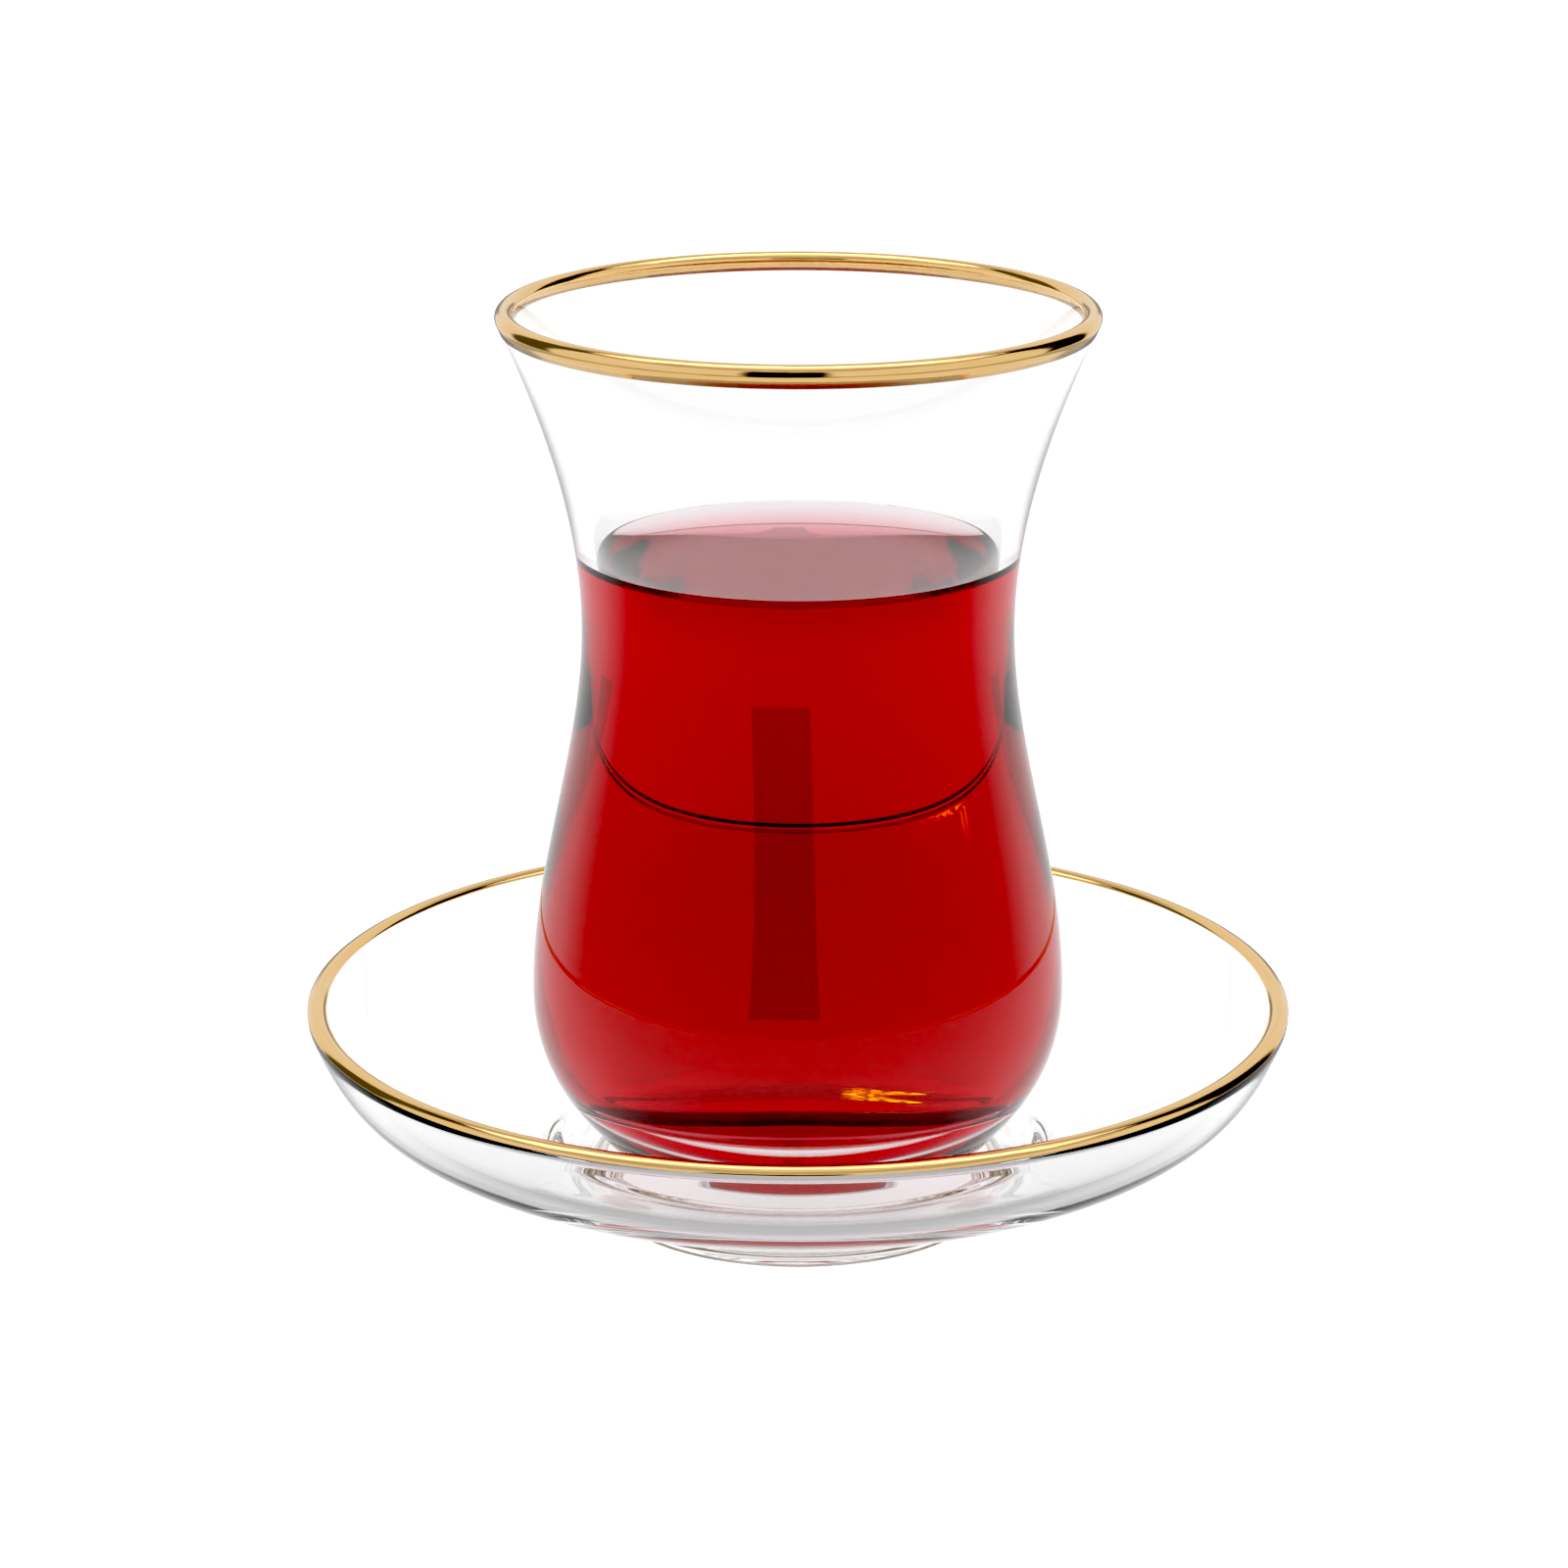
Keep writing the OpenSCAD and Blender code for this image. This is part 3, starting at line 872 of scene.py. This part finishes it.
# %% Let the dome glow
dome_tree.nodes.remove(dome_shader)
glow = dome_tree.nodes.new("ShaderNodeEmission")
dome_tree.links.new(glow_level, glow.inputs["Strength"])
see_through = dome_tree.nodes.new("ShaderNodeBsdfTransparent")
added = dome_tree.nodes.new("ShaderNodeAddShader")
dome_tree.links.new(glow.outputs[0], added.inputs[0])
dome_tree.links.new(see_through.outputs[0], added.inputs[1])
dome_tree.links.new(added.outputs[0], dome_tree.nodes["Material Output"].inputs["Surface"])
dress(dome, dome_glow)
print("dome material has", len(dome_tree.nodes), "nodes")

# %% [markdown]
# A soft box above draws the pale line along the top of both rims. It too shines on the gold alone.

# %% A soft box for the gold
SOFT_BOX_PLACE = Vector((0.0, 0.15, 0.9))
SOFT_BOX_SIZE = (1.3, 0.45)
SOFT_BOX_LIGHT = 1.3
select_none()
bpy.ops.object.light_add(type="AREA", location=SOFT_BOX_PLACE)
soft_box = bpy.context.object
soft_box.name = "soft_box_above"
soft_box.data.shape = "RECTANGLE"
soft_box.data.size, soft_box.data.size_y = SOFT_BOX_SIZE
soft_box.data.energy = SOFT_BOX_LIGHT * math.pi * SOFT_BOX_SIZE[0] * SOFT_BOX_SIZE[1]
toward_lip = Vector((0, 0, lip_top * MM)) - SOFT_BOX_PLACE
soft_box.rotation_euler = toward_lip.to_track_quat("-Z", "Y").to_euler()
soft_box.light_linking.receiver_collection = gilded_things
print("soft box of", round(soft_box.data.energy, 2), "W")

# %% [markdown]
# ## The camera
# A long lens half a metre away keeps the glass nearly free of perspective. It looks down by about 17
# degrees, so the lip, the tea's surface and the saucer show as slim ellipses. Light crosses six faces
# and more on its way through a filled glass, and can turn back several times in the thick bottom, so it
# gets many bounces, and few of its ways are cut short. A slightly raised black level deepens the darks.

# %% Place the camera
CAMERA_PLACE = (-0.00155, -0.4907, 0.1982)
CAMERA_DOWN = 16.94
CAMERA_LENS = 105.84
BLACK_LEVEL = 0.045
BOUNCES = 32
select_none()
bpy.ops.object.camera_add(location=CAMERA_PLACE, rotation=(math.radians(90 - CAMERA_DOWN), 0, 0))
camera = bpy.context.object
camera.data.sensor_width = 36
camera.data.lens = CAMERA_LENS
camera.data.clip_start = 0.01
scene = bpy.context.scene
scene.camera = camera
scene.view_settings.view_transform = "Standard"
scene.view_settings.use_curve_mapping = True
scene.view_settings.curve_mapping.black_level = (BLACK_LEVEL, BLACK_LEVEL, BLACK_LEVEL)
scene.cycles.max_bounces = BOUNCES
scene.cycles.transmission_bounces = BOUNCES
scene.cycles.glossy_bounces = 16
scene.cycles.transparent_max_bounces = BOUNCES
scene.cycles.use_denoising = True
print("camera looks down", CAMERA_DOWN, "degrees through a lens of", CAMERA_LENS, "mm")
